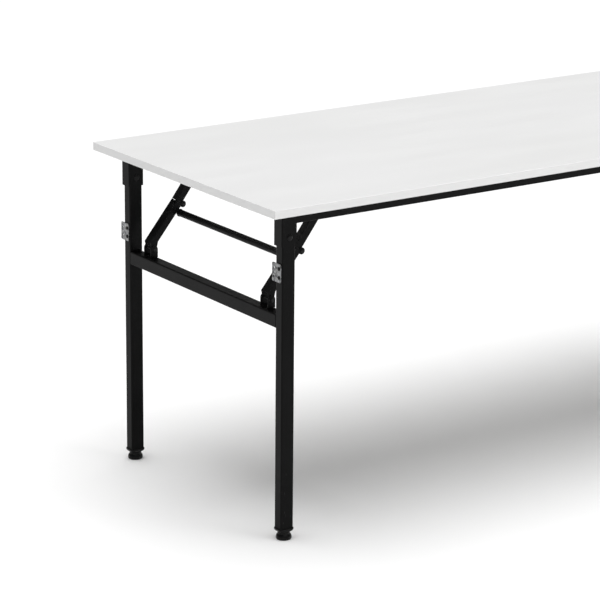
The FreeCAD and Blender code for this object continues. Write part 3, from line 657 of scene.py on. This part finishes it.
def plate_screw_heads(end, out):
    """Four pan-head screws through the joining plates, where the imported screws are."""
    node = "plate_screws_" + end
    points = np.array([vertex.co for vertex in frame["nodes"][node].data.vertices])
    face_low, face_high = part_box("joining_plates_" + end)
    face_x = face_low.x if out < 0 else face_high.x
    forms = []
    for _, side in SIDES:
        pair = points[points[:, 1] * side > 0]
        low = pair.min(axis=0)
        high = pair.max(axis=0)
        for z in (low[2] + SCREW_HEAD, high[2] - SCREW_HEAD):
            forms.append(pan_screw_form(np.array([face_x, (low[1] + high[1]) / 2, z]), out))
    add_piece(node + "_heads", forms, "end_frame_" + end, "black_fixings", [node])


LEG_Y = box_middle("leg_back_left")[1]
BRACE_Y = abs(JOINTS["upper_brace_swing_front_left"]["pos_m"][1])

for end, out in ENDS:
    pivot_rivets("leg_pivot_pins_" + end, "table_top", "fold_" + end, LEG_SHANK, LEG_HEAD, LEG_Y)
    pivot_rivets("clevis_pins_" + end, "end_frame_" + end, "lower_brace_swing_" + end,
                 BRACE_SHANK, BRACE_HEAD, BRACE_Y)
    pivot_rivets("hanger_pins_" + end, "table_top", "upper_brace_swing_front_" + end,
                 BRACE_SHANK, BRACE_HEAD, BRACE_Y)
    knee_rivet_heads(end)
    plate_screw_heads(end, out)


# ---- Feet and levelling glides ------------------------------------------------------------------

PAD_RADIUS = 17.0 * MM
PAD_BASE_RADIUS = 15.0 * MM
PAD_WIDEST = 4.5 * MM           # height of the pad's widest place
SHOULDER_TOP = 11.5 * MM
NECK_RADIUS = 13.5 * MM
NECK_TOP = 17.5 * MM
NECK_CHAMFER = 0.5 * MM
NECK_RINGS = 12
NECK_FLUTES = 24
FLUTE_DEPTH = 0.45 * MM
STUD_RADIUS = 4.0 * MM
STUD_BOTTOM = 6.0 * MM
STUD_TOP = 42.0 * MM
THREAD_PITCH = 1.25 * MM
THREAD_DEPTH = 0.55 * MM
COLLAR_HALF = np.array([18.5, 15.0]) * MM
COLLAR_BOTTOM = 18.0 * MM
COLLAR_WIDEST = 23.4 * MM
COLLAR_TOP = 26.0 * MM
SPIGOT_HALF = np.array([14.4, 10.9]) * MM
SPIGOT_TOP = 56.0 * MM
BORE_HALF = np.array([4.35, 4.35]) * MM
NUT_HALF = np.array([6.5, 6.5]) * MM
NUT_TOP = 27.0 * MM
BEND_STEPS = 9


def glide_pad_form(place):
    """The glide's moulded foot: radius as a function of height is a quarter ellipse out to the widest
    place, a longer quarter ellipse back in to the neck, and cosine flutes cut into the neck."""
    bend = np.linspace(0, np.pi / 2, BEND_STEPS)
    low_radii = PAD_BASE_RADIUS + (PAD_RADIUS - PAD_BASE_RADIUS) * np.sin(bend)
    low_heights = PAD_WIDEST * (1 - np.cos(bend))
    high_radii = NECK_RADIUS + (PAD_RADIUS - NECK_RADIUS) * np.cos(bend[1:])
    high_heights = PAD_WIDEST + (SHOULDER_TOP - PAD_WIDEST) * np.sin(bend[1:])
    neck_radii = np.full(NECK_RINGS, NECK_RADIUS)
    neck_heights = np.linspace(SHOULDER_TOP + NECK_CHAMFER, NECK_TOP - NECK_CHAMFER, NECK_RINGS)
    radii = np.concatenate([[0.0], low_radii, high_radii, neck_radii, [NECK_RADIUS - NECK_CHAMFER, 0.0]])
    heights = np.concatenate([[0.0], low_heights, high_heights, neck_heights, [NECK_TOP, NECK_TOP]])

    def flutes(height, angle):
        from_shoulder = np.clip((height - SHOULDER_TOP) / (1.2 * MM), 0, 1)
        from_top = np.clip((NECK_TOP - 0.4 * MM - height) / (1.0 * MM), 0, 1)
        return -FLUTE_DEPTH * from_shoulder * from_top * np.abs(np.cos(NECK_FLUTES / 2 * angle)) ** 3

    return turned_form(radii, heights, place, (0, 0, 1), around=144, swell=flutes)


def glide_stud_form(place):
    """The glide's stud: radius less a triangle wave of height and angle, which makes a helical thread."""
    turns = np.arange(STUD_BOTTOM, STUD_TOP, THREAD_PITCH / 8)
    heights = np.concatenate([[STUD_BOTTOM], turns, [STUD_TOP, STUD_TOP]])
    radii = np.full(len(heights), STUD_RADIUS)
    radii[[0, -1]] = 0.0
    radii[-2] = STUD_RADIUS - 0.5 * MM

    def thread(height, angle):
        turn = (height / THREAD_PITCH - angle / (2 * np.pi)) % 1.0
        near_tip = np.clip((STUD_TOP - height) / (1.0 * MM), 0, 1)
        return -THREAD_DEPTH * near_tip * np.abs(2 * turn - 1)

    return turned_form(radii, heights, place, (0, 0, 1), around=32, swell=thread)


def squared_ring(height, half, power, around=96):
    """A squared-off oval at a height: radius is the sum of |cos / half x| and |sin / half y|, each to
    the power, to the power of minus one over it."""
    angle = np.linspace(0, 2 * np.pi, around, endpoint=False)
    across = np.abs(np.cos(angle) / half[0])
    up = np.abs(np.sin(angle) / half[1])
    radius = (across ** power + up ** power) ** (-1 / power)
    return np.stack([radius * np.cos(angle), radius * np.sin(angle), np.full(around, height)], -1)


def foot_plug_form(place):
    """The leg's foot plug: squared rings that swell from the neck by a quarter ellipse to a soft collar,
    then a spigot up inside the leg, and a bore down through the middle."""
    rings = []
    for turn in np.linspace(0, np.pi / 2, BEND_STEPS):
        height = COLLAR_BOTTOM + (COLLAR_WIDEST - COLLAR_BOTTOM) * (1 - math.cos(turn))
        half = NECK_RADIUS + (COLLAR_HALF - NECK_RADIUS) * math.sin(turn)
        rings.append(squared_ring(height, half, 2.0 + 3.0 * math.sin(turn)))
    rings += [squared_ring(COLLAR_TOP - 0.5 * MM, COLLAR_HALF - 0.2 * MM, 5.0),
              squared_ring(COLLAR_TOP, COLLAR_HALF - 0.9 * MM, 5.0),
              squared_ring(COLLAR_TOP, SPIGOT_HALF, 8.0),
              squared_ring(SPIGOT_TOP, SPIGOT_HALF, 8.0),
              squared_ring(SPIGOT_TOP, BORE_HALF, 2.0),
              squared_ring(NUT_TOP, BORE_HALF, 2.0),
              squared_ring(NUT_TOP, NUT_HALF, 2.0),
              squared_ring(COLLAR_BOTTOM, NUT_HALF, 2.0)]
    points = np.concatenate(rings) + np.array([place[0], place[1], 0.0])
    return points, ring_faces(len(rings), len(rings[0]), closed=True)


for end, _ in ENDS:
    plugs = [foot_plug_form(box_middle("leg_" + side_name + "_" + end)) for side_name, _ in SIDES]
    add_piece("foot_collars_" + end, plugs, "end_frame_" + end, "black_plastic", ["foot_plugs_" + end])
    for side_name, _ in SIDES:
        which = side_name + "_" + end
        node = "foot_glide_" + which
        place = box_middle(node)
        place[2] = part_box(node)[0].z
        add_piece("glide_pad_" + which, [glide_pad_form(place)], "glide_" + which, "black_plastic", [node])
        add_piece("glide_stud_" + which, [glide_stud_form(place)], "glide_" + which, "steel")


# ---- Welds --------------------------------------------------------------------------------------

FRAME_BEAD = 1.8 * MM
SMALL_BEAD = 1.3 * MM
BAR_BEAD = 1.2 * MM
LIFT = 0.4 * FRAME_BEAD         # how far a bead's middle stands off the surface
PAST_CORNER = 3.0 * MM          # how far a bead starts or stops from a tube's rounded corner
BAR_TURN = np.radians(150)


def stretcher_welds(end, out):
    """Beads over, under and behind each end of the stretcher, where it meets a leg."""
    low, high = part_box("stretcher_" + end)
    face_x, inner_x = (low.x, high.x) if out < 0 else (high.x, low.x)
    start_x = face_x - out * PAST_CORNER
    stop_x = inner_x + out * 1 * MM
    back_x = inner_x - out * LIFT
    paths = []
    for y in (low.y, high.y):
        for z in (high.z + LIFT, low.z - LIFT):
            paths.append([(start_x, y, z), (stop_x, y, z)])
        paths.append([(back_x, y, low.z + PAST_CORNER), (back_x, y, high.z - PAST_CORNER)])
    return paths


def clevis_welds(end):
    """A bead along each side of each clevis base, on the stretcher's top face."""
    low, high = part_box("brace_clevises_" + end)
    half = high.y - BRACE_Y
    z = low.z + 0.3 * FRAME_BEAD
    paths = []
    for _, side in SIDES:
        for y in (side * BRACE_Y - half, side * BRACE_Y + half):
            paths.append([(low.x + 2 * MM, y, z), (high.x - 2 * MM, y, z)])
    return paths


def hanger_welds(end, out):
    """A bead above and below each brace hanger, on the cross rail's face."""
    low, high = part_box("brace_hangers_" + end)
    back_x = high.x if out < 0 else low.x
    half = high.y - BRACE_Y - 2 * MM
    paths = []
    for _, side in SIDES:
        for z in (low.z, high.z):
            paths.append([(back_x, side * BRACE_Y - half, z), (back_x, side * BRACE_Y + half, z)])
    return paths


def cross_rail_welds(end):
    """Beads down both sides and under each end of a cross rail, where it meets the side rails."""
    low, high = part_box("cross_rail_" + end)
    paths = []
    for y in (low.y, high.y):
        for x in (low.x, high.x):
            paths.append([(x, y, low.z + PAST_CORNER), (x, y, high.z - 4 * MM)])
        paths.append([(low.x + PAST_CORNER, y, low.z), (high.x - PAST_CORNER, y, low.z)])
    return paths


def release_bar_welds(end):
    """A bead round most of each end of the release bar, an arc a little inside its radius, on the
    lower link's cheek."""
    low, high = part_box("release_bar_" + end)
    centre_x, _, centre_z = box_middle("release_bar_" + end)
    radius = 0.99 * (high.z - low.z) / 2
    turn = np.linspace(-BAR_TURN, BAR_TURN, 60)
    x = centre_x + radius * np.cos(turn)
    z = centre_z + radius * np.sin(turn)
    return [np.stack([x, np.full(60, y), z], -1) for y in (low.y + 0.4 * MM, high.y - 0.4 * MM)]


def add_beads(name, paths, radius, body):
    """One piece of several weld beads, in the frame's own powder coat."""
    add_piece(name, [bead_form(path, radius) for path in paths], body, "black_steel")


for end, out in ENDS:
    add_beads("stretcher_welds_" + end, stretcher_welds(end, out), FRAME_BEAD, "end_frame_" + end)
    add_beads("clevis_welds_" + end, clevis_welds(end), SMALL_BEAD, "end_frame_" + end)
    add_beads("hanger_welds_" + end, hanger_welds(end, out), SMALL_BEAD, "table_top")
    add_beads("cross_rail_welds_" + end, cross_rail_welds(end), FRAME_BEAD, "table_top")
    add_beads("release_bar_welds_" + end, release_bar_welds(end), BAR_BEAD, "lower_braces_" + end)


# ---- Stage, light and camera --------------------------------------------------------------------

FLOOR_HALF = 60.0
FLOOR_SHADE = 0.98
FILL_STRENGTH = 0.33
CAMERA_PLACE = Vector((-3.9971, -4.9875, 2.1818))
CAMERA_HEADING = math.radians(55.642)
CAMERA_PITCH = math.radians(16.312)
CAMERA_ROLL = math.radians(0.473)
CAMERA_LENS = 170.35
SENSOR_WIDTH = 36.0


def add_floor():
    """A large plain pale floor at the table's feet."""
    corners = [(-FLOOR_HALF, -FLOOR_HALF, 0), (FLOOR_HALF, -FLOOR_HALF, 0),
               (FLOOR_HALF, FLOOR_HALF, 0), (-FLOOR_HALF, FLOOR_HALF, 0)]
    mesh = bpy.data.meshes.new("studio_floor")
    mesh.from_pydata(corners, [], [(0, 1, 2, 3)])
    floor = bpy.data.objects.new("studio_floor", mesh)
    bpy.context.scene.collection.objects.link(floor)
    material, _, shader = start_material("studio_floor_white", Roughness=0.9, Specular_IOR_Level=0.0)
    shader.inputs["Base Color"].default_value = colour(FLOOR_SHADE)
    mesh.materials.append(material)


def add_surround():
    """An even surround: a soft fill for the light that it gives, and plain white where it is seen."""
    world = bpy.data.worlds.new("studio_surround")
    world.use_nodes = True
    graph = Graph(world.node_tree)
    surround = world.node_tree.nodes["Background"]
    surround.inputs["Color"].default_value = colour(1.0)
    seen = graph.node("ShaderNodeLightPath").outputs["Is Camera Ray"]
    strength = graph.span(seen, 0.0, 1.0, to_low=FILL_STRENGTH, to_high=1.0, smooth=False)
    graph.feed(surround.inputs["Strength"], strength)
    bpy.context.scene.world = world
    bpy.context.scene.view_settings.view_transform = "Standard"


def aim_lamp(name, data, place, target):
    """Put a lamp at place, shining at target."""
    lamp = bpy.data.objects.new(name, data)
    lamp.location = place
    lamp.rotation_mode = "QUATERNION"
    lamp.rotation_quaternion = (Vector(target) - Vector(place)).to_track_quat("-Z", "Y")
    bpy.context.scene.collection.objects.link(lamp)
    return lamp


def soft_light(name, place, target, size, power):
    """A square area light aimed at target, left out of mirror reflections so that it puts no glare
    on the top."""
    data = bpy.data.lights.new(name, "AREA")
    data.shape = "SQUARE"
    data.size = size
    data.energy = power
    aim_lamp(name, data, place, target).visible_glossy = False


def distant_light(name, place, target, strength, spread):
    """A broad even light from far away, with soft shadows from its spread in degrees."""
    data = bpy.data.lights.new(name, "SUN")
    data.energy = strength
    data.angle = math.radians(spread)
    aim_lamp(name, data, place, target)


def add_camera():
    """The camera, from its place, heading, downward pitch and roll."""
    level = math.cos(CAMERA_PITCH)
    ahead = Vector((level * math.cos(CAMERA_HEADING), level * math.sin(CAMERA_HEADING),
                    -math.sin(CAMERA_PITCH)))
    right = Vector((math.sin(CAMERA_HEADING), -math.cos(CAMERA_HEADING), 0.0))
    up = right.cross(ahead)
    rolled_right = right * math.cos(CAMERA_ROLL) + up * math.sin(CAMERA_ROLL)
    rolled_up = up * math.cos(CAMERA_ROLL) - right * math.sin(CAMERA_ROLL)
    data = bpy.data.cameras.new("studio_camera")
    data.lens = CAMERA_LENS
    data.sensor_width = SENSOR_WIDTH
    data.clip_start = 0.05
    data.clip_end = 200.0
    camera = bpy.data.objects.new("studio_camera", data)
    camera.rotation_mode = "QUATERNION"
    camera.rotation_quaternion = Matrix((rolled_right, rolled_up, -ahead)).transposed().to_quaternion()
    camera.location = CAMERA_PLACE
    bpy.context.scene.collection.objects.link(camera)
    bpy.context.scene.camera = camera


add_floor()
add_surround()
distant_light("overhead_light", (0.0, 0.0, 5.0), (0.0, 0.0, 0.0), strength=2.4, spread=56.0)
soft_light("front_softbox", (2.6, -5.6, 1.4), (0.0, 0.0, 0.5), size=2.4, power=90.0)
soft_light("end_softbox", (-6.0, -0.5, 1.4), (0.0, 0.0, 0.5), size=2.4, power=3.0)
add_camera()
